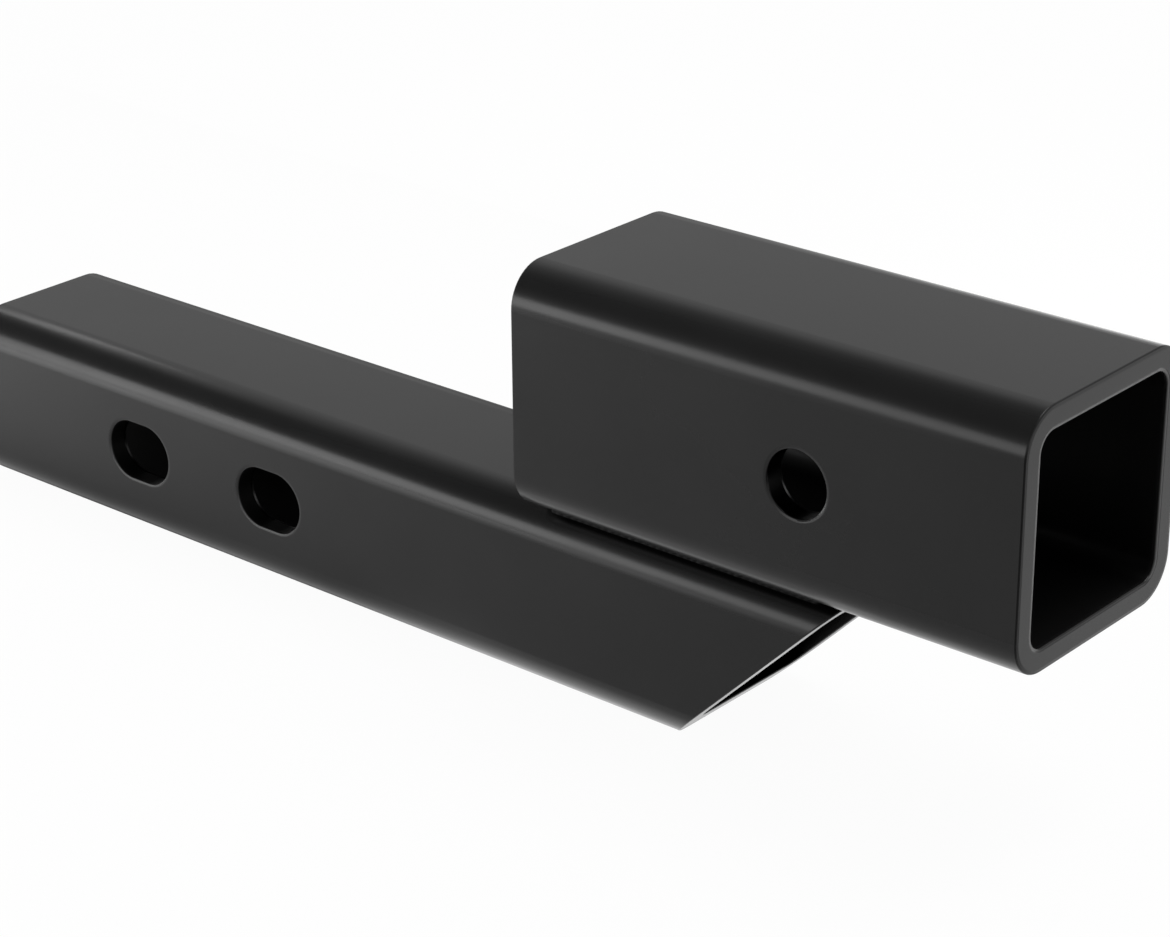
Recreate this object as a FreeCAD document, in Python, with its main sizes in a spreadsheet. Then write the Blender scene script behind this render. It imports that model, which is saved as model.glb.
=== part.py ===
import FreeCAD, Part
import math
import os
import Sketcher

# Hitch extender: a square shank that slides into a vehicle's receiver, with a larger
# square receiver welded along the top of its mitred end, so that the hitch is raised.
# The frame is in millimetres: +X runs along the tubes towards the receiver's mouth,
# +Z is up, y = 0 is the middle plane, and the origin is under the middle of the whole
# length, in the plane that the shank's flat underside stands on.

# Driving dimensions, in millimetres and degrees
SIZES = {
    "shank_width": 50.8,             # outside width and height of the shank's tube
    "shank_wall": 6.0,
    "shank_inner_corner": 3.7,       # inside radius of its long corners
    "shank_length": 304.0,           # along its top, which is its longest side
    "mitre_angle": 45.0,             # the cut's lean from upright
    "slot_width": 16.8,              # passes a 5/8 in hitch pin
    "slot_length": 23.1,
    "slot_from_end": 66.6,           # plain end to the first slot's centre
    "slot_pitch": 50.8,
    "receiver_wall": 6.0,
    "receiver_clearance": 0.7,       # of the socket over a shank of the same width
    "receiver_inner_corner": 4.7,    # inside radius of its long corners
    "receiver_length": 144.5,
    "receiver_overhang": 51.6,       # how far its mouth stands out past the shank's tip
    "pin_bore": 16.6,                # passes a 5/8 in hitch pin
    "pin_from_mouth": 59.5,
    "rim_break": 0.5,                # rounding of the tubes' square-cut rims
    "mitre_break": 0.3,              # rounding of the mitred rim
    "hole_break": 0.5,               # rounding of the rims of slots and bores
    "groove_weld_root": 1.8,         # where a side weld starts, past the shank's flat top
    "groove_weld_throat": 4.6,       # a side weld's depth from root to face
    "groove_weld_inset": 2.0,        # how far it stops short of the ends of its groove
    "rear_weld_leg": 5.0,            # height and width of the weld at the receiver's back
    "rear_weld_inset": 1.0,          # how far it stops short of the shank's rounded corners
}

# Formulas that several pieces share
TOTAL_LENGTH = "(Sizes.shank_length + Sizes.receiver_overhang)"
OVERLAP = "(Sizes.receiver_length - Sizes.receiver_overhang)"
RECEIVER_BACK = f"({TOTAL_LENGTH} / 2 - Sizes.receiver_length)"
RECEIVER_WIDTH = "(Sizes.shank_width + Sizes.receiver_clearance + 2 * Sizes.receiver_wall)"
SHANK_CORNER = "(Sizes.shank_inner_corner + Sizes.shank_wall)"
SHANK_FLAT = f"(Sizes.shank_width / 2 - {SHANK_CORNER})"

WELD_SECTOR = 100.0                  # degrees that a groove weld's face sweeps about its root
ON_SURFACE = 0.001                   # millimetres within which a point counts as on a surface

doc = FreeCAD.newDocument("hitch_extender")


def fill_sheet():
    """The spreadsheet that every sketch and feature reads its sizes from."""
    sheet = doc.addObject("Spreadsheet::Sheet", "Sizes")
    for row, (alias, value) in enumerate(SIZES.items(), start=1):
        sheet.set(f"A{row}", alias.replace("_", " "))
        sheet.set(f"B{row}", str(value))
        sheet.setAlias(f"B{row}", alias)
    doc.recompute()


def new_body(name, along, up):
    """An empty body with its X axis on a tube's centreline; along and up are formulas."""
    body = doc.addObject("PartDesign::Body", name)
    body.Label = name
    body.setExpression(".Placement.Base.x", along)
    body.setExpression(".Placement.Base.z", up)
    return body


def new_sketch(body, name, role):
    """An empty sketch on one of the body's own origin planes."""
    plane = next(feature for feature in body.Origin.OriginFeatures if feature.Role == role)
    sketch = body.newObject("Sketcher::SketchObject", name)
    sketch.AttachmentSupport = (plane, "")
    sketch.MapMode = "FlatFace"
    return sketch


def dimension(sketch, name, formula, kind, *points):
    """A named dimension on the given points, tied to the sheet by its formula."""
    value = sketch.evalExpression(formula)
    index = sketch.addConstraint(Sketcher.Constraint(kind, *points, float(value)))
    sketch.renameConstraint(index, name)
    sketch.setExpression(f"Constraints.{name}", formula)


def line(x1, y1, x2, y2):
    return Part.LineSegment(FreeCAD.Vector(x1, y1, 0), FreeCAD.Vector(x2, y2, 0))


def arc(x, y, radius, start_degrees, end_degrees):
    circle = Part.Circle(FreeCAD.Vector(x, y, 0), FreeCAD.Vector(0, 0, 1), radius)
    return Part.ArcOfCircle(circle, math.radians(start_degrees), math.radians(end_degrees))


def join_smoothly(sketch, loop):
    """Makes each piece of a closed loop run on from the one before, with no corner."""
    for before, after in zip(loop, loop[1:] + loop[:1]):
        sketch.addConstraint(Sketcher.Constraint("Tangent", before, 2, after, 1))


def rounded_square(sketch, name, span, radius):
    """A square with round corners about the sketch's origin. span and radius are formulas:
    the distance between the corners' centres, and the corners' radius."""
    half = float(sketch.evalExpression(span)) / 2
    corner = float(sketch.evalExpression(radius))
    side = half + corner
    bottom = sketch.addGeometry(line(-half, -side, half, -side))
    bottom_right = sketch.addGeometry(arc(half, -half, corner, -90, 0))
    right = sketch.addGeometry(line(side, -half, side, half))
    top_right = sketch.addGeometry(arc(half, half, corner, 0, 90))
    top = sketch.addGeometry(line(half, side, -half, side))
    top_left = sketch.addGeometry(arc(-half, half, corner, 90, 180))
    left = sketch.addGeometry(line(-side, half, -side, -half))
    bottom_left = sketch.addGeometry(arc(-half, -half, corner, 180, 270))
    join_smoothly(sketch, [bottom, bottom_right, right, top_right, top, top_left, left, bottom_left])
    for level in (bottom, top):
        sketch.addConstraint(Sketcher.Constraint("Horizontal", level))
    for upright in (left, right):
        sketch.addConstraint(Sketcher.Constraint("Vertical", upright))
    for other in (top_right, top_left, bottom_left):
        sketch.addConstraint(Sketcher.Constraint("Equal", bottom_right, other))
    sketch.addConstraint(Sketcher.Constraint("Symmetric", bottom_left, 3, top_right, 3, -1, 1))
    dimension(sketch, f"{name}_across", span, "DistanceX", bottom_left, 3, bottom_right, 3)
    dimension(sketch, f"{name}_up", span, "DistanceY", bottom_right, 3, top_right, 3)
    dimension(sketch, f"{name}_corner", radius, "Radius", bottom_right)


def square_tube(body, width, wall, inner_corner, length):
    """A square tube that runs along +X from the body's YZ plane. All four are formulas."""
    span = f"{width} - 2 * ({inner_corner} + {wall})"
    profile = new_sketch(body, f"{body.Name}_profile", "YZ_Plane")
    rounded_square(profile, "outside", span, f"{inner_corner} + {wall}")
    rounded_square(profile, "inside", span, inner_corner)
    doc.recompute()
    tube = body.newObject("PartDesign::Pad", f"{body.Name}_pad")
    tube.Profile = profile
    tube.setExpression("Length", length)
    doc.recompute()
    if tube.Shape.BoundBox.XMax < ON_SURFACE:
        tube.Reversed = True
        doc.recompute()
    return tube


def cut_through(body, profile, name):
    """Cuts a side-view profile through the whole width, both ways from the middle."""
    before = body.Tip.Shape.Volume
    doc.recompute()
    pocket = body.newObject("PartDesign::Pocket", name)
    pocket.Profile = profile
    pocket.Type = "ThroughAll"
    pocket.SideType = "Symmetric"
    doc.recompute()
    if pocket.Shape.Volume >= before:
        raise RuntimeError(f"{name} cuts nothing")
    return pocket


def round_edges(body, name, radius, test):
    """Rounds the edges whose ends and middle all pass a test of their place."""
    base = body.Tip
    chosen = []
    for number, edge in enumerate(base.Shape.Edges, start=1):
        middle = edge.valueAt((edge.FirstParameter + edge.LastParameter) / 2)
        points = [vertex.Point for vertex in edge.Vertexes] + [middle]
        if all(test(point) for point in points):
            chosen.append(f"Edge{number}")
    if not chosen:
        raise RuntimeError(f"{name} finds no edge")
    fillet = body.newObject("PartDesign::Fillet", name)
    fillet.Base = (base, chosen)
    fillet.setExpression("Radius", radius)
    doc.recompute()
    return fillet


def near(value, target):
    return abs(value - target) < ON_SURFACE


def on_walls(point, half_width, wall):
    """Whether a point lies on the outer or inner face of a tube's two side walls."""
    return near(abs(point.y), half_width) or near(abs(point.y), half_width - wall)


def cut_mitre(body):
    """Cuts the shank's front off at a lean, so that its top is its longest side."""
    width = SIZES["shank_width"]
    length = SIZES["shank_length"]
    half = width / 2
    setback = width * math.tan(math.radians(SIZES["mitre_angle"]))

    mitre = new_sketch(body, "mitre_profile", "XZ_Plane")
    front = mitre.addGeometry(line(length, -half, length, half))
    cut = mitre.addGeometry(line(length, half, length - setback, -half))
    under = mitre.addGeometry(line(length - setback, -half, length, -half))
    for before, after in ((front, cut), (cut, under), (under, front)):
        mitre.addConstraint(Sketcher.Constraint("Coincident", before, 2, after, 1))
    mitre.addConstraint(Sketcher.Constraint("Vertical", front))
    mitre.addConstraint(Sketcher.Constraint("Horizontal", under))
    dimension(mitre, "tip_from_end", "Sizes.shank_length", "DistanceX", -1, 1, front, 2)
    dimension(mitre, "tip_height", "Sizes.shank_width / 2", "DistanceY", -1, 1, front, 2)
    dimension(mitre, "cut_height", "Sizes.shank_width", "DistanceY", front, 1, front, 2)
    dimension(mitre, "cut_setback", "Sizes.shank_width * tan(Sizes.mitre_angle)",
              "DistanceX", under, 1, under, 2)
    cut_through(body, mitre, "mitre_cut")


def cut_slots(body):
    """Cuts a slot for the hitch pin through both side walls, and a second one a pitch on."""
    radius = SIZES["slot_width"] / 2
    reach = (SIZES["slot_length"] - SIZES["slot_width"]) / 2
    centre = SIZES["slot_from_end"]

    slot = new_sketch(body, "slot_profile", "XZ_Plane")
    below = slot.addGeometry(line(centre - reach, -radius, centre + reach, -radius))
    ahead = slot.addGeometry(arc(centre + reach, 0, radius, -90, 90))
    above = slot.addGeometry(line(centre + reach, radius, centre - reach, radius))
    behind = slot.addGeometry(arc(centre - reach, 0, radius, 90, 270))
    join_smoothly(slot, [below, ahead, above, behind])
    slot.addConstraint(Sketcher.Constraint("Horizontal", below))
    slot.addConstraint(Sketcher.Constraint("Equal", ahead, behind))
    slot.addConstraint(Sketcher.Constraint("PointOnObject", ahead, 3, -1))
    dimension(slot, "back_from_end",
              "Sizes.slot_from_end - (Sizes.slot_length - Sizes.slot_width) / 2",
              "DistanceX", -1, 1, behind, 3)
    dimension(slot, "straight", "Sizes.slot_length - Sizes.slot_width",
              "DistanceX", behind, 3, ahead, 3)
    dimension(slot, "round_end", "Sizes.slot_width / 2", "Radius", ahead)

    first = cut_through(body, slot, "first_slot")
    with_one = first.Shape.Volume
    slots = body.newObject("PartDesign::LinearPattern", "both_slots")
    slots.Originals = [first]
    slots.Direction = (slot, ["H_Axis"])
    slots.setExpression("Length", "Sizes.slot_pitch")
    slots.Occurrences = 2
    body.Tip = slots
    doc.recompute()
    if slots.Shape.Volume >= with_one:
        raise RuntimeError("the second slot cuts nothing")


def make_shank():
    """The tube that goes into the vehicle: mitred in front, with two slots for the pin."""
    body = new_body("shank_tube", f"-{TOTAL_LENGTH} / 2", "Sizes.shank_width / 2")
    square_tube(body, "Sizes.shank_width", "Sizes.shank_wall", "Sizes.shank_inner_corner",
                "Sizes.shank_length")
    cut_mitre(body)
    cut_slots(body)

    half = SIZES["shank_width"] / 2
    lean = math.tan(math.radians(SIZES["mitre_angle"]))

    def on_mitre(point):
        return near(point.x, SIZES["shank_length"] - (half - point.z) * lean)

    def on_slot_rims(point):
        in_height = abs(point.z) < SIZES["slot_width"] / 2 + ON_SURFACE
        return on_walls(point, half, SIZES["shank_wall"]) and in_height

    round_edges(body, "mitre_rounding", "Sizes.mitre_break", on_mitre)
    round_edges(body, "plain_end_rounding", "Sizes.rim_break", lambda point: near(point.x, 0))
    round_edges(body, "slot_rounding", "Sizes.hole_break", on_slot_rims)
    return body


def make_receiver():
    """The tube that takes the next hitch: open at both ends, with a bore for its pin."""
    body = new_body("receiver_tube", RECEIVER_BACK, f"Sizes.shank_width + {RECEIVER_WIDTH} / 2")
    square_tube(body, RECEIVER_WIDTH, "Sizes.receiver_wall", "Sizes.receiver_inner_corner",
                "Sizes.receiver_length")

    length = SIZES["receiver_length"]
    radius = SIZES["pin_bore"] / 2
    inside = (SIZES["shank_width"] + SIZES["receiver_clearance"]) / 2
    bore = new_sketch(body, "bore_profile", "XZ_Plane")
    circle = Part.Circle(FreeCAD.Vector(length - SIZES["pin_from_mouth"], 0, 0),
                         FreeCAD.Vector(0, 0, 1), radius)
    hole = bore.addGeometry(circle)
    bore.addConstraint(Sketcher.Constraint("PointOnObject", hole, 3, -1))
    dimension(bore, "from_back", "Sizes.receiver_length - Sizes.pin_from_mouth",
              "DistanceX", -1, 1, hole, 3)
    dimension(bore, "bore_radius", "Sizes.pin_bore / 2", "Radius", hole)
    cut_through(body, bore, "pin_bore_cut")

    def on_ends(point):
        return near(point.x, 0) or near(point.x, length)

    def on_bore_rims(point):
        in_height = abs(point.z) < radius + ON_SURFACE
        return on_walls(point, inside + SIZES["receiver_wall"], SIZES["receiver_wall"]) and in_height

    round_edges(body, "end_rounding", "Sizes.rim_break", on_ends)
    round_edges(body, "bore_rounding", "Sizes.hole_break", on_bore_rims)
    return body


def make_side_welds(shank, receiver):
    """The weld along each side, in the groove between the two tubes' rounded corners.
    Each is the sector of a round bead about its root that the tubes leave free."""
    bead = doc.addObject("Part::Cylinder", "side_bead")
    bead.setExpression("Radius", "Sizes.groove_weld_throat")
    cut_back = "Sizes.groove_weld_throat * tan(Sizes.mitre_angle)"
    bead.setExpression("Height", f"{OVERLAP} - {cut_back} - 2 * Sizes.groove_weld_inset")
    bead.Angle = WELD_SECTOR
    # The sector opens from straight down towards +Y, about an axis that runs along +X
    bead.Placement.Rotation = FreeCAD.Rotation(
        FreeCAD.Vector(0, 0, -1), FreeCAD.Vector(0, 1, 0), FreeCAD.Vector(1, 0, 0), "ZXY")
    bead.setExpression(".Placement.Base.x", f"{RECEIVER_BACK} + Sizes.groove_weld_inset")
    bead.setExpression(".Placement.Base.y", f"{SHANK_FLAT} + Sizes.groove_weld_root")
    bead.setExpression(".Placement.Base.z", "Sizes.shank_width")

    over_shank = doc.addObject("Part::Cut", "side_bead_over_shank")
    over_shank.Base = bead
    over_shank.Tool = shank
    left = doc.addObject("Part::Cut", "side_weld_left")
    left.Label = "side_weld_left"
    left.Base = over_shank
    left.Tool = receiver
    right = doc.addObject("Part::Mirroring", "side_weld_right")
    right.Label = "side_weld_right"
    right.Source = left
    right.Normal = FreeCAD.Vector(0, 1, 0)
    doc.recompute()
    return left, right


def make_rear_weld():
    """The weld across the shank's flat top, at the receiver's back edge: a quarter round."""
    weld = doc.addObject("Part::Cylinder", "rear_weld")
    weld.Label = "rear_weld"
    half_length = f"({SHANK_FLAT} - Sizes.rear_weld_inset)"
    weld.setExpression("Radius", "Sizes.rear_weld_leg")
    weld.setExpression("Height", f"2 * {half_length}")
    weld.Angle = 90
    # The sector opens from straight up towards -X, about an axis that runs along -Y
    weld.Placement.Rotation = FreeCAD.Rotation(
        FreeCAD.Vector(0, 0, 1), FreeCAD.Vector(-1, 0, 0), FreeCAD.Vector(0, -1, 0), "ZXY")
    weld.setExpression(".Placement.Base.x", RECEIVER_BACK)
    weld.setExpression(".Placement.Base.y", half_length)
    weld.setExpression(".Placement.Base.z", "Sizes.shank_width")
    doc.recompute()
    return weld


def check(pieces):
    """Stops before anything is written if a feature failed or a piece isn't one sound solid."""
    failed = [item.Name for item in doc.Objects if {"Invalid", "Error"} & set(item.State)]
    if failed:
        raise RuntimeError(f"these objects failed: {failed}")
    for piece in pieces:
        shape = piece.Shape
        if shape.isNull() or not shape.isValid() or len(shape.Solids) != 1:
            raise RuntimeError(f"{piece.Label} isn't one valid solid")


def write(pieces):
    os.makedirs("parts", exist_ok=True)
    for piece in pieces:
        piece.Shape.exportStep(f"parts/{piece.Label}.step")
        box = piece.Shape.optimalBoundingBox()
        print(f"{piece.Label}: {piece.Shape.Volume / 1000:.3f} cm3, "
              f"X {box.XMin:.2f} to {box.XMax:.2f}, Y {box.YMin:.2f} to {box.YMax:.2f}, "
              f"Z {box.ZMin:.2f} to {box.ZMax:.2f}")


fill_sheet()
shank_tube = make_shank()
receiver_tube = make_receiver()
weld_left, weld_right = make_side_welds(shank_tube, receiver_tube)
all_pieces = [shank_tube, receiver_tube, weld_left, weld_right, make_rear_weld()]
doc.recompute()
check(all_pieces)
write(all_pieces)
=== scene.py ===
from collections import namedtuple
import math
import random

import bmesh
import bpy
from mathutils import Matrix, Vector


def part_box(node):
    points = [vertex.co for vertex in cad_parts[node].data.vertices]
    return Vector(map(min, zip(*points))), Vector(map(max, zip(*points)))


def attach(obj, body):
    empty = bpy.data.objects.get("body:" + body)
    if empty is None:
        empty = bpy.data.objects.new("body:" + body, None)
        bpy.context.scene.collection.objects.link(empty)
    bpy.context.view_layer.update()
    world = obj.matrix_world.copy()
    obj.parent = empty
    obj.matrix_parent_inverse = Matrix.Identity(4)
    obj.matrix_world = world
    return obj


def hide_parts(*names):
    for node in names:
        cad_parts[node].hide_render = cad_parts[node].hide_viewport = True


# The hitch extender's looks: satin black powder coat on two square tubes and on the
# welds that join them. Lengths are in metres: +X runs towards the receiver's mouth,
# +Z is up, and the floor is the plane z = 0. Where a name holds a pair of values, a change
# starts at the first and ends at the second, along the axis that the comment names.

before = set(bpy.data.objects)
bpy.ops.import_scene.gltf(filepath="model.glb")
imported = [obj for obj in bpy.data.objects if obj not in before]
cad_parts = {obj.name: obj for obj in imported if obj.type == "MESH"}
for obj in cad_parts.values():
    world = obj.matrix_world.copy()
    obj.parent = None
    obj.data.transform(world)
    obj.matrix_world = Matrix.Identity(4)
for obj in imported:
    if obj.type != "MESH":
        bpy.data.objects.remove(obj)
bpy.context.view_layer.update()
MM = 0.001
WHITE = (1, 1, 1, 1)

# Camera, at the photograph's view
IMAGE_WIDTH = 1170                       # pixels of the whole picture
FOCAL_LENGTH_PIXELS = 3120.8
SENSOR_WIDTH = 36.0                      # millimetres
CAMERA_PLACE = Vector((0.4974, -0.5466, 0.3649))
CAMERA_AZIMUTH = math.radians(40.589)    # turned from -Y towards +X
CAMERA_ELEVATION = math.radians(23.560)
CAMERA_ROLL = math.radians(-0.417)

# Sizes that the looks follow, the same as in the solids
SHANK_WALL = 6.0 * MM
SHANK_INNER_CORNER = 3.7 * MM
RECEIVER_WALL = 6.0 * MM
RECEIVER_INNER_CORNER = 4.7 * MM
RIM_BREAK = 0.5 * MM
SLOT_WIDTH = 16.8 * MM
SLOT_LENGTH = 23.1 * MM
SLOT_FROM_END = 66.6 * MM
SLOT_PITCH = 50.8 * MM
PIN_BORE = 16.6 * MM
PIN_FROM_MOUTH = 59.5 * MM

# Places that the frame gives
shank_low, shank_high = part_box("shank_tube")
receiver_low, receiver_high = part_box("receiver_tube")
SHANK_TOP = shank_high.z
SHANK_MIDDLE = (shank_low.z + shank_high.z) / 2
SHANK_HALF = (shank_high.y - shank_low.y) / 2
SHANK_END = shank_low.x
MITRE_TIP = shank_high.x
RECEIVER_MIDDLE = (receiver_low.z + receiver_high.z) / 2
RECEIVER_HALF = (receiver_high.y - receiver_low.y) / 2
RECEIVER_BACK = receiver_low.x
MOUTH = receiver_high.x


# Shader helpers
def feed(tree, value, socket):
    """Links a socket, or sets a plain value."""
    if isinstance(value, bpy.types.NodeSocket):
        tree.links.new(value, socket)
    else:
        socket.default_value = value


def node(tree, kind, inputs=None, **settings):
    """A new shader node, with its properties and its inputs set or linked."""
    made = tree.nodes.new(kind)
    for name, value in settings.items():
        setattr(made, name, value)
    for name, value in (inputs or {}).items():
        feed(tree, value, made.inputs[name])
    return made


def maths(tree, operation, *values):
    """The result of a Math node on one, two or three values."""
    made = node(tree, "ShaderNodeMath", operation=operation)
    for value, socket in zip(values, made.inputs):
        feed(tree, value, socket)
    return made.outputs[0]


def product(tree, first, *others):
    """All the values multiplied."""
    result = first
    for value in others:
        result = maths(tree, "MULTIPLY", result, value)
    return result


def length(tree, first, second):
    """The length of a step with those two parts."""
    squares = maths(tree, "MULTIPLY_ADD", first, first, maths(tree, "MULTIPLY", second, second))
    return maths(tree, "SQRT", squares)


def ramp(tree, value, start, end, low=0.0, high=1.0, kind="SMOOTHSTEP"):
    """Goes from low to high as value goes from start to end."""
    made = node(tree, "ShaderNodeMapRange", interpolation_type=kind)
    for index, item in enumerate((value, start, end, low, high)):
        feed(tree, item, made.inputs[index])
    return made.outputs[0]


def fade(tree, value, start, end):
    """Goes from 1 to 0 as value goes from start to end."""
    return ramp(tree, value, start, end, 1.0, 0.0)


def band(tree, value, rise, fall):
    """Goes from 0 to 1 over the first pair and back to 0 over the second."""
    return product(tree, ramp(tree, value, *rise), fade(tree, value, *fall))


def mix(tree, share, first, second):
    """A value between two, by a share from 0 to 1."""
    made = node(tree, "ShaderNodeMix", data_type="FLOAT")
    for index, item in ((0, share), (2, first), (3, second)):
        feed(tree, item, made.inputs[index])
    return made.outputs[0]


def noise(tree, place, scale, detail):
    """A cloudy pattern from 0 to 1, whose spots are about 1 / scale metres wide."""
    made = node(tree, "ShaderNodeTexNoise", {
        "Vector": place, "Scale": scale, "Detail": detail, "Roughness": 0.5})
    return made.outputs[0]


def split(tree, vector):
    """The X, Y and Z of a vector."""
    parts = node(tree, "ShaderNodeSeparateXYZ", {"Vector": vector})
    return parts.outputs["X"], parts.outputs["Y"], parts.outputs["Z"]


def new_material(name):
    """A material with no nodes yet, its node tree, and the place on the object."""
    material = bpy.data.materials.new(name)
    material.use_nodes = True
    tree = material.node_tree
    tree.nodes.clear()
    return material, tree, node(tree, "ShaderNodeTexCoord").outputs["Object"]


# Camera
def make_camera():
    back = Vector((
        math.sin(CAMERA_AZIMUTH) * math.cos(CAMERA_ELEVATION),
        -math.cos(CAMERA_AZIMUTH) * math.cos(CAMERA_ELEVATION),
        math.sin(CAMERA_ELEVATION)))
    right = Vector((0, 0, 1)).cross(back).normalized()
    level = Matrix((right, back.cross(right), back)).transposed()
    turn = level @ Matrix.Rotation(CAMERA_ROLL, 3, "Z")
    camera = bpy.data.objects.new("camera", bpy.data.cameras.new("camera"))
    camera.data.sensor_width = SENSOR_WIDTH
    camera.data.lens = FOCAL_LENGTH_PIXELS / IMAGE_WIDTH * SENSOR_WIDTH
    camera.matrix_world = Matrix.Translation(CAMERA_PLACE) @ turn.to_4x4()
    bpy.context.scene.collection.objects.link(camera)
    bpy.context.scene.camera = camera


# Floor: white where it is seen, and brighter or darker from place to place where the coat
# mirrors it. Levels are shares of white.
FLOOR_SIZE = 8.0
FLOOR_DROP = 0.1 * MM                    # keeps the floor's plane clear of the shank's underside
FLOOR_WHITE = 0.9
FLOOR_SHOWN_WHITE = 0.96                 # share of plain white where it is seen; the rest keeps its shadow

FRONT_LEVEL = 0.68                       # at the right
LEFT_GAIN = 0.17                         # what the left adds at x = 0
LEFT_GAIN_RATE = 7.2                     # and how fast that grows to the left, per metre
LEFT_GAIN_MOST = 1.6
PAST_MOUTH = (0.15, 0.26)                # x
PAST_MOUTH_SHARE = 0.15
FAR_FRONT = (-0.50, -0.33)               # y
FAR_FRONT_SHARE = 0.55
SHINE = 3.8                              # what a low view adds, on the left in front
SHINE_FACING = (0.69, 0.88)              # from a steep view to a low one
SHINE_END = (-0.08, 0.02)                # x
SHINE_RISE = (-0.33, -0.25)              # y
SHINE_FALL = (-0.14, -0.09)              # y
BEHIND = (0.0, 0.06)                     # y
BEHIND_DARK = 0.30                       # behind the tubes, the left is dark and the right is lit
BEHIND_DARK_END = -0.13                  # x
BEHIND_LIT_START = 0.08                  # x
FLOOR_BEHIND_LIT = 1.13
SHADE = (-0.15, -0.06)                   # x, beside the shank's left half
SHADE_DEEP = -0.5
SHADE_LIGHT = -0.12
SHADE_EDGE = -0.065                      # y
POOL = (-0.05, 0.03)                     # x, where a pool of light beside its right half begins
POOL_LEVEL = 1.3
POOL_EDGE = -0.038                       # y
POOL_END = (0.085, 0.115)                # x
POOL_END_LEVEL = 0.45
BESIDE_FULL = -0.025                     # y, next to the shank
UNDER = (-0.023, -0.019)                 # y, where the shank's own shade begins
UNDER_END = (0.09, 0.12)                 # x
UNDER_LEVEL = -0.8
FAR_SIDE = (0.01, 0.04)                  # y, where pool and shade end


def floor_glow(tree, place):
    """How bright the floor is where the coat mirrors it. In front it is brightest on the far
    left, and shines where it is seen at a low angle. Beside the shank there is shade along
    the left half and a pool of light along the right half. Behind, it is dark on the left."""
    along, depth, _ = split(tree, place)
    gain = maths(tree, "EXPONENT", product(tree, along, -LEFT_GAIN_RATE))
    gain = maths(tree, "MINIMUM", product(tree, gain, LEFT_GAIN), LEFT_GAIN_MOST)
    level = product(
        tree, maths(tree, "ADD", gain, FRONT_LEVEL),
        ramp(tree, along, *PAST_MOUTH, 1.0, PAST_MOUTH_SHARE),
        ramp(tree, depth, *FAR_FRONT, FAR_FRONT_SHARE, 1.0))

    facing = node(tree, "ShaderNodeLayerWeight", {"Blend": 0.5}).outputs["Facing"]
    shine = product(
        tree, ramp(tree, facing, *SHINE_FACING), fade(tree, along, *SHINE_END),
        band(tree, depth, SHINE_RISE, SHINE_FALL))
    level = maths(tree, "MULTIPLY_ADD", shine, SHINE, level)

    behind = ramp(tree, along, BEHIND_DARK_END, BEHIND_LIT_START, BEHIND_DARK, FLOOR_BEHIND_LIT)
    level = mix(tree, ramp(tree, depth, *BEHIND), level, behind)

    pool = ramp(tree, along, *POOL)
    side = mix(tree, pool, ramp(tree, along, *SHADE, SHADE_DEEP, SHADE_LIGHT), POOL_LEVEL)
    side = mix(tree, ramp(tree, along, *POOL_END), side, POOL_END_LEVEL)
    beside = band(tree, depth, (mix(tree, pool, SHADE_EDGE, POOL_EDGE), BESIDE_FULL), FAR_SIDE)
    level = maths(tree, "MULTIPLY_ADD", beside, side, level)

    under = product(tree, band(tree, depth, UNDER, FAR_SIDE), fade(tree, along, *UNDER_END))
    return maths(tree, "MULTIPLY_ADD", under, UNDER_LEVEL, level)


def make_floor():
    mesh = bpy.data.meshes.new("floor")
    shape = bmesh.new()
    bmesh.ops.create_grid(shape, x_segments=1, y_segments=1, size=FLOOR_SIZE / 2)
    shape.to_mesh(mesh)
    shape.free()
    floor = bpy.data.objects.new("floor", mesh)
    floor.location.z = -FLOOR_DROP
    bpy.context.scene.collection.objects.link(floor)

    material, tree, place = new_material("floor")
    paint = node(tree, "ShaderNodeBsdfDiffuse", {"Color": (FLOOR_WHITE, FLOOR_WHITE, FLOOR_WHITE, 1)})
    path = node(tree, "ShaderNodeLightPath")
    strength = mix(tree, path.outputs["Is Glossy Ray"], 1.0, floor_glow(tree, place))
    white = node(tree, "ShaderNodeEmission", {"Color": WHITE, "Strength": strength})
    seen = maths(tree, "MAXIMUM", path.outputs["Is Camera Ray"], path.outputs["Is Glossy Ray"])
    seen = maths(tree, "MAXIMUM", seen, path.outputs["Is Transmission Ray"])
    share = product(tree, seen, FLOOR_SHOWN_WHITE)
    both = node(tree, "ShaderNodeMixShader", {0: share, 1: paint.outputs[0], 2: white.outputs[0]})
    node(tree, "ShaderNodeOutputMaterial", {"Surface": both.outputs[0]})
    mesh.materials.append(material)


# Flag: a card behind the tubes
FLAG_LEFT = -0.47
FLAG_RIGHT = 0.08
FLAG_DEPTH = 0.25
FLAG_HEIGHT = 0.175
FLAG_LIT_START = 0.07                    # x
FLAG_LIT = 1.75
FLAG_TOP_GREY = 0.72
FLAG_TOP_RISE = (-0.24, -0.14)           # x, where the grey top moves up
FLAG_TOP_LEFT = (0.075, 0.125)           # z, left of that
FLAG_TOP_RIGHT = (0.105, 0.19)           # z, right of it


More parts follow.
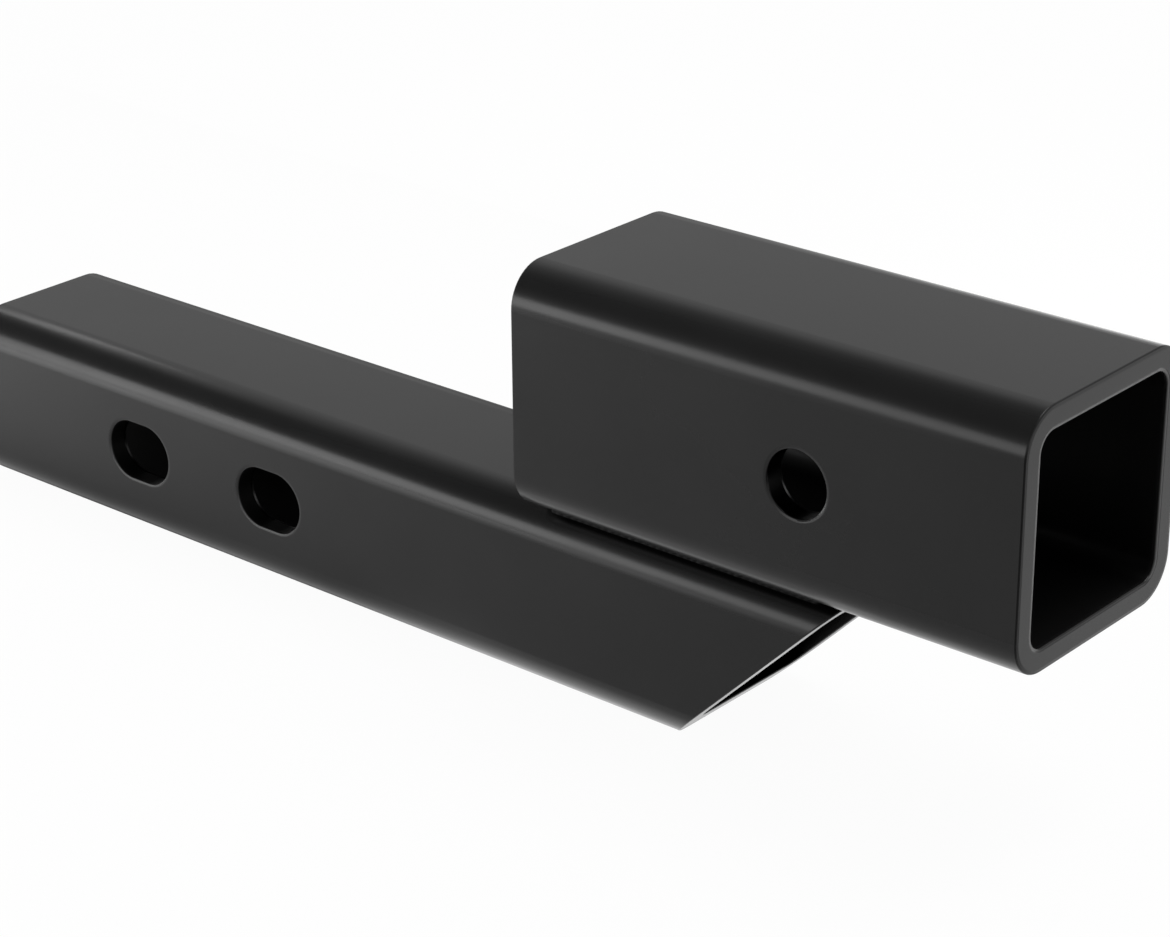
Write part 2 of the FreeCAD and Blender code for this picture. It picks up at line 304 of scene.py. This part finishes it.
def make_flag():
    """A card out of the camera's sight that shapes the light on the tubes' far edges: dark on
    the left, brighter than white on the right, and grey along its top."""
    mesh = bpy.data.meshes.new("flag")
    shape = bmesh.new()
    corners = [shape.verts.new(place) for place in (
        (FLAG_LEFT, FLAG_DEPTH, 0.0), (FLAG_RIGHT, FLAG_DEPTH, 0.0),
        (FLAG_RIGHT, FLAG_DEPTH, FLAG_HEIGHT), (FLAG_LEFT, FLAG_DEPTH, FLAG_HEIGHT))]
    shape.faces.new(corners)
    shape.to_mesh(mesh)
    shape.free()
    flag = bpy.data.objects.new("flag", mesh)
    flag.visible_camera = False
    flag.visible_shadow = False
    bpy.context.scene.collection.objects.link(flag)

    material, tree, place = new_material("flag")
    along, _, level = split(tree, place)
    lower = ramp(tree, along, BEHIND_DARK_END, FLAG_LIT_START, BEHIND_DARK, FLAG_LIT)
    right = ramp(tree, along, *FLAG_TOP_RISE)
    top_start, top_end = [mix(tree, right, *pair) for pair in zip(FLAG_TOP_LEFT, FLAG_TOP_RIGHT)]
    strength = mix(tree, ramp(tree, level, top_start, top_end), lower, FLAG_TOP_GREY)
    card = node(tree, "ShaderNodeEmission", {"Color": WHITE, "Strength": strength})
    node(tree, "ShaderNodeOutputMaterial", {"Surface": card.outputs[0]})
    mesh.materials.append(material)


# World: white all round near the horizon and up the back, and dark overhead in front.
# Pairs of degrees are angles above the horizon.
HORIZON = (5, 13)                        # degrees
FRONT_TOP = (10, 35)                     # degrees
BACK_TOP = (40, 60)                      # degrees
BACKDROP_RISE = (24, 36)                 # degrees
FRONT_TO_BACK = (-0.15, 0.15)            # y of a direction
LEFT_DULL = (-0.68, -0.55)               # x of a direction
LEFT_DULL_SHARE = 0.93
GLOW = (-0.58, -0.45)                    # x of a direction
HORIZON_WHITE = 0.85
HORIZON_GLOW = 1.25                      # the same, from straight behind the receiver rightwards
BACKDROP_GREY = 0.67
BACKDROP_TOP = 0.90
CEILING_DARK = 0.20


def heights(degrees):
    """The heights of directions at those angles above the horizon."""
    return [math.sin(math.radians(angle)) for angle in degrees]


def make_world():
    world = bpy.data.worlds.new("studio")
    bpy.context.scene.world = world
    world.use_nodes = True
    tree = world.node_tree
    tree.nodes.clear()
    direction = node(tree, "ShaderNodeTexCoord").outputs["Generated"]
    along, depth, height = split(tree, direction)
    front = fade(tree, height, *heights(FRONT_TOP))
    back = fade(tree, height, *heights(BACK_TOP))
    lit = mix(tree, ramp(tree, depth, *FRONT_TO_BACK), front, back)
    grey = ramp(tree, height, *heights(BACKDROP_RISE), BACKDROP_GREY, BACKDROP_TOP)
    grey = product(tree, grey, ramp(tree, along, *LEFT_DULL, 1.0, LEFT_DULL_SHARE))
    glow = ramp(tree, along, *GLOW, HORIZON_WHITE, HORIZON_GLOW)
    backdrop = mix(tree, fade(tree, height, *heights(HORIZON)), grey, glow)
    strength = mix(tree, lit, CEILING_DARK, backdrop)
    light = node(tree, "ShaderNodeBackground", {"Color": WHITE, "Strength": strength})
    node(tree, "ShaderNodeOutputWorld", {"Surface": light.outputs[0]})


# Lamps
def make_lamp(name, place, target, width, height, radiance):
    """A softbox of that many metres, facing target, as bright as radiance times white."""
    lamp = bpy.data.lights.new(name, "AREA")
    lamp.shape = "RECTANGLE"
    lamp.size = width
    lamp.size_y = height
    lamp.energy = radiance * width * height * math.pi
    holder = bpy.data.objects.new(name, lamp)
    holder.location = place
    holder.rotation_euler = (Vector(target) - Vector(place)).to_track_quat("-Z", "Y").to_euler()
    holder.visible_camera = False
    bpy.context.scene.collection.objects.link(holder)


def make_lamps():
    make_lamp("left_softbox", place=(-0.60, -0.63, 0.144), target=(-0.1, 0.0, 0.144),
              width=0.42, height=0.285, radiance=4.8)
    make_lamp("right_softbox", place=(-0.28, -0.76, 0.185), target=(0.1, 0.0, 0.185),
              width=0.28, height=0.29, radiance=2.85)
    make_lamp("edge_lamp", place=(-0.405, 0.08, 0.267), target=(-0.15, -0.02, 0.05),
              width=0.10, height=0.03, radiance=4.8)
    make_lamp("top_softbox", place=(0.3, 0.3, 1.3), target=(0.0, 0.0, 0.05),
              width=0.8, height=0.8, radiance=5.0)


make_camera()
make_floor()
make_flag()
make_world()
make_lamps()


# Powder coat
COAT_COLOUR = 0.009
COAT_ROUGHNESS = 0.245
COAT_IOR = 1.325
CLOUD_SCALE = 35.0
CLOUD_DETAIL = 3.0
CLOUD_SPREAD = (0.3, 0.7)                # of the pattern's values
CLOUD_COLOUR = 0.15                      # how far the colour drifts, as a share
CLOUD_ROUGHNESS = 0.02                   # how far the roughness drifts
PEEL_SCALE = 900.0
PEEL_DETAIL = 1.0
GRAIN_SCALE = 3500.0
GRAIN_DETAIL = 2.0
GRAIN_SHARE = 0.25                       # of the surface's unevenness; the rest is peel
UNEVENNESS = 0.02 * MM
UNEVENNESS_STRENGTH = 0.15

# On a tube: distances outwards from the wall of its hollow
HOLLOW_EDGE = (0.02 * MM, 0.3 * MM)
HOLLOW_FADE = 1.0 * MM                   # length of the change at its ends
ROUGHNESS_CHANGE = (20 * MM, 60 * MM)    # x, in the hollow
INNER_RIM = (0.5 * MM, 0.95 * MM)
INNER_RIM_ROLL = 0.21 * MM               # how far the coat sinks at every rim of the hollow
OUTER_RIM = (1.0 * MM, 0.5 * MM)         # inwards from the tube's outside
OUTER_RIM_ROLL = 0.12 * MM               # how far it sinks at the outer rims of the tube's ends
PAINTED_HIGHLIGHT_RISE = (0.0, 0.2 * MM)
PAINTED_HIGHLIGHT_FALL = (0.6 * MM, 0.9 * MM)
PAINTED_HIGHLIGHT_BOTTOM = (-0.2 * MM, 0.5 * MM)      # up from the hollow's bottom
PAINTED_HIGHLIGHT_COLOUR = 0.08                       # painted highlight, on the end rims of the hollow

# At a hole: distances outwards from its wall
HOLE_CLEAR = (0.4 * MM, 0.8 * MM)        # where the hollow's painted shade starts beside it
HOLE_WALL = (0.02 * MM, 0.2 * MM)        # where its own painted shade ends
HOLE_SHADE_START = (0.4 * MM, 0.9 * MM)       # its own painted shade, outwards from the hollow
ROUGH_START = (1.0 * MM, 1.5 * MM)       # its roughness, outwards from the hollow
HOLE_RIM = (0.3 * MM, 1.0 * MM)
HOLE_RIM_ROLL = 0.12 * MM                # how far the coat sinks at its rim

# At the joint between the tubes
GROOVE_ACROSS = 22.0 * MM                # from the middle of the tubes to the groove's line
GROOVE_REACH = (2.8 * MM, 4.8 * MM)      # from that line, where its painted shade ends
GROOVE_START_FADE = 8.0 * MM
GROOVE_END = MITRE_TIP + 5.0 * MM
GROOVE_END_FADE = 3.0 * MM
SWELL = 0.4 * MM                         # how far the coat on the receiver swells towards the groove
SWELL_HEIGHTS = (6.2 * MM, 1.8 * MM)     # above the shank
SWELL_START = (RECEIVER_BACK, RECEIVER_BACK + 6.0 * MM)
SWELL_END = (MITRE_TIP - 8.0 * MM, MITRE_TIP + 7.0 * MM)

# A tube, as far as its coat follows it: the middle's height, half the outside width, the
# wall, the hollow's corners, where the hollow starts and ends, its roughness on the left
# and on the right, and its pin holes. Those are one or two slots, pitch apart about the
# middle, each with a straight length, the radius of its ends and its walls' roughness.
Tube = namedtuple("Tube", "middle half wall inner_corner start end roughness end_roughness holes")
Holes = namedtuple("Holes", "middle pitch straight radius wall_roughness")


def rounded_square_distance(tree, across, up, half, corner):
    """Distance outwards from a square with round corners, about the origin."""
    beyond_across = maths(tree, "SUBTRACT", maths(tree, "ABSOLUTE", across), half - corner)
    beyond_up = maths(tree, "SUBTRACT", maths(tree, "ABSOLUTE", up), half - corner)
    corner_across = maths(tree, "MAXIMUM", beyond_across, 0.0)
    corner_up = maths(tree, "MAXIMUM", beyond_up, 0.0)
    outside = length(tree, corner_across, corner_up)
    inside = maths(tree, "MINIMUM", maths(tree, "MAXIMUM", beyond_across, beyond_up), 0.0)
    return maths(tree, "SUBTRACT", maths(tree, "ADD", outside, inside), corner)


def slot_distance(tree, along, up, holes):
    """Distance outwards from the walls of the nearest hole."""
    off = maths(tree, "ABSOLUTE", maths(tree, "SUBTRACT", along, holes.middle))
    off = maths(tree, "ABSOLUTE", maths(tree, "SUBTRACT", off, holes.pitch / 2))
    off = maths(tree, "MAXIMUM", maths(tree, "SUBTRACT", off, holes.straight / 2), 0.0)
    return maths(tree, "SUBTRACT", length(tree, off, up), holes.radius)


def bent(tree, normal, distance, height):
    """The shading normal of a surface raised by height times distance."""
    made = node(tree, "ShaderNodeBump", {
        "Strength": 1.0, "Distance": distance, "Height": height, "Normal": normal})
    return made.outputs[0]


def tube_coat(tree, spot, tube, rough, normal):
    """The coat on a tube: its painted shade and painted highlight, its roughness and its shading normal.
    Shade is painted black in the hollow and on the walls of the holes, and the rims of both are rolled in.
    A highlight is painted lighter on the hollow's rims at the tube's ends, save at the bottom."""
    along, across, level = spot
    hollow_half = tube.half - tube.wall
    up = maths(tree, "SUBTRACT", level, tube.middle)
    away = rounded_square_distance(tree, across, up, hollow_half, tube.inner_corner)
    around = slot_distance(tree, along, up, tube.holes)
    past_end = maths(tree, "ABSOLUTE", maths(tree, "SUBTRACT", along, (tube.start + tube.end) / 2))
    past_end = maths(tree, "SUBTRACT", past_end, (tube.end - tube.start) / 2)

    starting = (tube.start, tube.start + HOLLOW_FADE)
    ending = (tube.end - HOLLOW_FADE, tube.end)
    # Painted shade: the hollow and the walls of the holes are made black, as shade falls there; the same
    # masks also change the roughness.
    hollow = product(
        tree, fade(tree, away, *HOLLOW_EDGE), band(tree, along, starting, ending),
        ramp(tree, around, *HOLE_CLEAR))
    hollow_rough = ramp(tree, along, *ROUGHNESS_CHANGE, tube.roughness, tube.end_roughness)
    rough = mix(tree, hollow, rough, hollow_rough)
    wall = product(tree, fade(tree, around, *HOLE_WALL), ramp(tree, away, *HOLE_SHADE_START))
    rough_wall = product(tree, wall, ramp(tree, away, *ROUGH_START))
    rough = mix(tree, rough_wall, rough, tube.holes.wall_roughness)
    painted_shade = maths(tree, "MAXIMUM", hollow, wall)

    # Painted highlight: a lighter line on the hollow's rims at the tube's ends, save at the bottom.
    low, high = [edge - hollow_half for edge in PAINTED_HIGHLIGHT_BOTTOM]
    painted_highlight = product(
        tree, band(tree, away, PAINTED_HIGHLIGHT_RISE, PAINTED_HIGHLIGHT_FALL), ramp(tree, past_end, -RIM_BREAK, 0.0),
        ramp(tree, up, low, high))

    rim = ramp(tree, away, *INNER_RIM, kind="LINEAR")
    normal = bent(tree, normal, INNER_RIM_ROLL, rim)
    start, end = [tube.wall - edge for edge in OUTER_RIM]
    fallen = product(
        tree, ramp(tree, away, start, end, 0.0, -1.0, "LINEAR"), ramp(tree, past_end, 0.0, RIM_BREAK))
    normal = bent(tree, normal, OUTER_RIM_ROLL, fallen)
    normal = bent(tree, normal, HOLE_RIM_ROLL, ramp(tree, around, *HOLE_RIM))
    return painted_shade, painted_highlight, rough, normal


def coat_material(name, groove_start, tube=None, swells=False):
    """Satin black powder coat, on a tube or on a weld. Shade is painted black in the groove between the
    tubes, from groove_start on, and the coat may swell towards that groove."""
    material, tree, place = new_material(name)
    spot = split(tree, place)
    along, across, level = spot
    cloud = noise(tree, place, CLOUD_SCALE, CLOUD_DETAIL)
    peel = noise(tree, place, PEEL_SCALE, PEEL_DETAIL)
    grain = noise(tree, place, GRAIN_SCALE, GRAIN_DETAIL)
    shade = mix(tree, cloud, (1 - CLOUD_COLOUR) * COAT_COLOUR, (1 + CLOUD_COLOUR) * COAT_COLOUR)
    rough = ramp(
        tree, cloud, *CLOUD_SPREAD, COAT_ROUGHNESS - CLOUD_ROUGHNESS,
        COAT_ROUGHNESS + CLOUD_ROUGHNESS)
    normal = node(tree, "ShaderNodeBump", {
        "Strength": UNEVENNESS_STRENGTH, "Distance": UNEVENNESS,
        "Height": mix(tree, GRAIN_SHARE, peel, grain)}).outputs[0]
    painted_shade = 0.0
    painted_highlight = 0.0
    if tube:
        painted_shade, painted_highlight, rough, normal = tube_coat(tree, spot, tube, rough, normal)

    # Painted shade: the groove between the tubes is made black, as shade falls there.
    beside = maths(tree, "SUBTRACT", maths(tree, "ABSOLUTE", across), GROOVE_ACROSS)
    above = maths(tree, "SUBTRACT", level, SHANK_TOP)
    starting = (groove_start, groove_start + GROOVE_START_FADE)
    ending = (GROOVE_END - GROOVE_END_FADE, GROOVE_END)
    groove_shade = product(
        tree, fade(tree, length(tree, beside, above), *GROOVE_REACH),
        band(tree, along, starting, ending))
    painted_shade = maths(tree, "MAXIMUM", painted_shade, groove_shade)
    if swells:
        start, end = [SHANK_TOP + height for height in SWELL_HEIGHTS]
        swollen = product(
            tree, ramp(tree, level, start, end), band(tree, along, SWELL_START, SWELL_END))
        normal = bent(tree, normal, SWELL, swollen)

    # The painted shade turns the colour black, and the painted highlight lightens it.
    shade = mix(tree, painted_shade, shade, 0.0)
    shade = mix(tree, painted_highlight, shade, PAINTED_HIGHLIGHT_COLOUR)
    colour = node(tree, "ShaderNodeCombineColor", {"Red": shade, "Green": shade, "Blue": shade})
    surface = node(tree, "ShaderNodeBsdfPrincipled", {
        "Base Color": colour.outputs[0], "Roughness": rough, "IOR": COAT_IOR, "Normal": normal})
    node(tree, "ShaderNodeOutputMaterial", {"Surface": surface.outputs[0]})
    return material


def dress(obj, material):
    """Gives an object one material in place of any that it has."""
    obj.data.materials.clear()
    obj.data.materials.append(material)


SHANK_HOLLOW_ROUGHNESS = 1.0             # by the slots
SHANK_HOLLOW_END_ROUGHNESS = 0.25        # by the mitre
SLOT_WALL_ROUGHNESS = 0.5
RECEIVER_HOLLOW_ROUGHNESS = 0.45
PAST_MITRE = 10.0 * MM                   # the shank's hollow has painted shade right up to its mitre
GROOVE_CLEAR = 1.0 * MM                  # from the receiver's back to where the groove's painted shade starts

slots = Holes(
    middle=SHANK_END + SLOT_FROM_END + SLOT_PITCH / 2, pitch=SLOT_PITCH,
    straight=SLOT_LENGTH - SLOT_WIDTH, radius=SLOT_WIDTH / 2, wall_roughness=SLOT_WALL_ROUGHNESS)
pin_hole = Holes(
    middle=MOUTH - PIN_FROM_MOUTH, pitch=0.0,
    straight=0.0, radius=PIN_BORE / 2, wall_roughness=COAT_ROUGHNESS)
shank = Tube(
    middle=SHANK_MIDDLE, half=SHANK_HALF, wall=SHANK_WALL, inner_corner=SHANK_INNER_CORNER,
    start=SHANK_END + RIM_BREAK, end=MITRE_TIP + PAST_MITRE,
    roughness=SHANK_HOLLOW_ROUGHNESS, end_roughness=SHANK_HOLLOW_END_ROUGHNESS, holes=slots)
receiver = Tube(
    middle=RECEIVER_MIDDLE, half=RECEIVER_HALF, wall=RECEIVER_WALL, inner_corner=RECEIVER_INNER_CORNER,
    start=RECEIVER_BACK + RIM_BREAK, end=MOUTH - RIM_BREAK,
    roughness=RECEIVER_HOLLOW_ROUGHNESS, end_roughness=RECEIVER_HOLLOW_ROUGHNESS, holes=pin_hole)

shank_coat = coat_material("shank_coat", RECEIVER_BACK + GROOVE_CLEAR, shank)
receiver_coat = coat_material("receiver_coat", RECEIVER_BACK + GROOVE_CLEAR, receiver, swells=True)
weld_coat = coat_material("weld_coat", RECEIVER_BACK - GROOVE_CLEAR)
dress(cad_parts["shank_tube"], shank_coat)
dress(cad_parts["receiver_tube"], receiver_coat)


# Weld beads: each is a row of overlapping crescents along the joint, rounded off at its ends
BEAD_STEP = 0.3 * MM                     # between two sections
BEAD_ARC_POINTS = 13
BEAD_END = 2.0 * MM                      # length over which an end is rounded
BEAD_END_LEAST = 0.2                     # share of the radius that is left at an end
RIPPLE_PITCH = 2.2 * MM
RIPPLE_PITCH_SPREAD = (0.8, 1.2)         # least and most share of the pitch, drawn at random
RIPPLE_HEIGHT = 0.14 * MM
RIPPLE_HEIGHT_SPREAD = (0.7, 1.2)        # the same for the height
RIPPLE_LEAD = 1.5                        # least number of pitches before the bead's start
RIPPLE_BEND = 1.2 * MM                   # how far a crescent's middle runs ahead of its sides
SIDE_BEAD_ROOT = 17.5 * MM               # distance from the middle of the tubes
SIDE_BEAD_RADIUS = 4.6 * MM
SIDE_BEAD_SWEEP = (-32, 6)               # degrees, from outwards towards up
REAR_BEAD_RADIUS = 5.0 * MM
REAR_BEAD_SWEEP = (-5, 95)               # degrees, from backwards towards up
ALONG = Vector((1, 0, 0))
ACROSS = Vector((0, 1, 0))
UP = Vector((0, 0, 1))


def ripple_edges(chance, bead_length):
    """Where each crescent begins along the bead, from before its start to past its end, with
    the height of each."""
    edges = [-RIPPLE_PITCH * (RIPPLE_LEAD + chance.random())]
    ripple_heights = []
    while edges[-1] < bead_length + RIPPLE_PITCH:
        edges.append(edges[-1] + RIPPLE_PITCH * chance.uniform(*RIPPLE_PITCH_SPREAD))
        ripple_heights.append(RIPPLE_HEIGHT * chance.uniform(*RIPPLE_HEIGHT_SPREAD))
    return edges, ripple_heights


def arch(share):
    """Goes from 0 up to 1 and back to 0 as share goes from 0 to 1."""
    return 1 - (2 * share - 1) ** 2


def ripple(edges, ripple_heights, distance):
    """How far the bead stands out at that distance along it."""
    for index, height in enumerate(ripple_heights):
        if distance < edges[index + 1]:
            return height * arch((distance - edges[index]) / (edges[index + 1] - edges[index]))
    return 0.0


def make_bead(name, root, along, outwards, bead_length, radius, sweep, seed):
    """A closed bead from root, running along. Its round face sweeps from outwards towards up."""
    edges, ripple_heights = ripple_edges(random.Random(seed), bead_length)
    shape = bmesh.new()
    sections = []
    steps = round(bead_length / BEAD_STEP)
    for step in range(steps + 1):
        distance = bead_length * step / steps
        to_end = min(distance, bead_length - distance, BEAD_END) / BEAD_END
        rounding = max(BEAD_END_LEAST, math.sqrt(1 - (1 - to_end) ** 2))
        place = root + along * distance
        section = [shape.verts.new(place)]
        for index in range(BEAD_ARC_POINTS):
            share = index / (BEAD_ARC_POINTS - 1)
            angle = math.radians(sweep[0] + share * (sweep[1] - sweep[0]))
            stand_out = ripple(edges, ripple_heights, distance - RIPPLE_BEND * arch(share))
            reach = (radius + stand_out) * rounding
            turned = outwards * math.cos(angle) + UP * math.sin(angle)
            section.append(shape.verts.new(place + turned * reach))
        sections.append(section)
    for first, second in zip(sections, sections[1:]):
        for index in range(len(first)):
            after = (index + 1) % len(first)
            shape.faces.new((first[index], first[after], second[after], second[index]))
    shape.faces.new(sections[0])
    shape.faces.new(sections[-1])
    bmesh.ops.recalc_face_normals(shape, faces=shape.faces)
    for face in shape.faces:
        face.smooth = len(face.verts) == 4
    mesh = bpy.data.meshes.new(name)
    shape.to_mesh(mesh)
    shape.free()
    bead = bpy.data.objects.new(name, mesh)
    bpy.context.scene.collection.objects.link(bead)
    mesh.materials.append(weld_coat)
    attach(bead, "root")
    return bead


side_low, side_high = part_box("side_weld_left")
rear_low, rear_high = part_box("rear_weld")
for name, side, seed in (("side_weld_left", 1, 11), ("side_weld_right", -1, 12)):
    root = Vector((side_low.x, side * SIDE_BEAD_ROOT, SHANK_TOP))
    bead = make_bead(f"{name}_bead", root, ALONG, side * ACROSS,
                     side_high.x - side_low.x, SIDE_BEAD_RADIUS, SIDE_BEAD_SWEEP, seed)
    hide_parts(name)
root = Vector((RECEIVER_BACK, rear_low.y, SHANK_TOP))
bead = make_bead("rear_weld_bead", root, ACROSS, -ALONG,
                 rear_high.y - rear_low.y, REAR_BEAD_RADIUS, REAR_BEAD_SWEEP, seed=13)
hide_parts("rear_weld")

bpy.context.scene.view_settings.view_transform = "Standard"
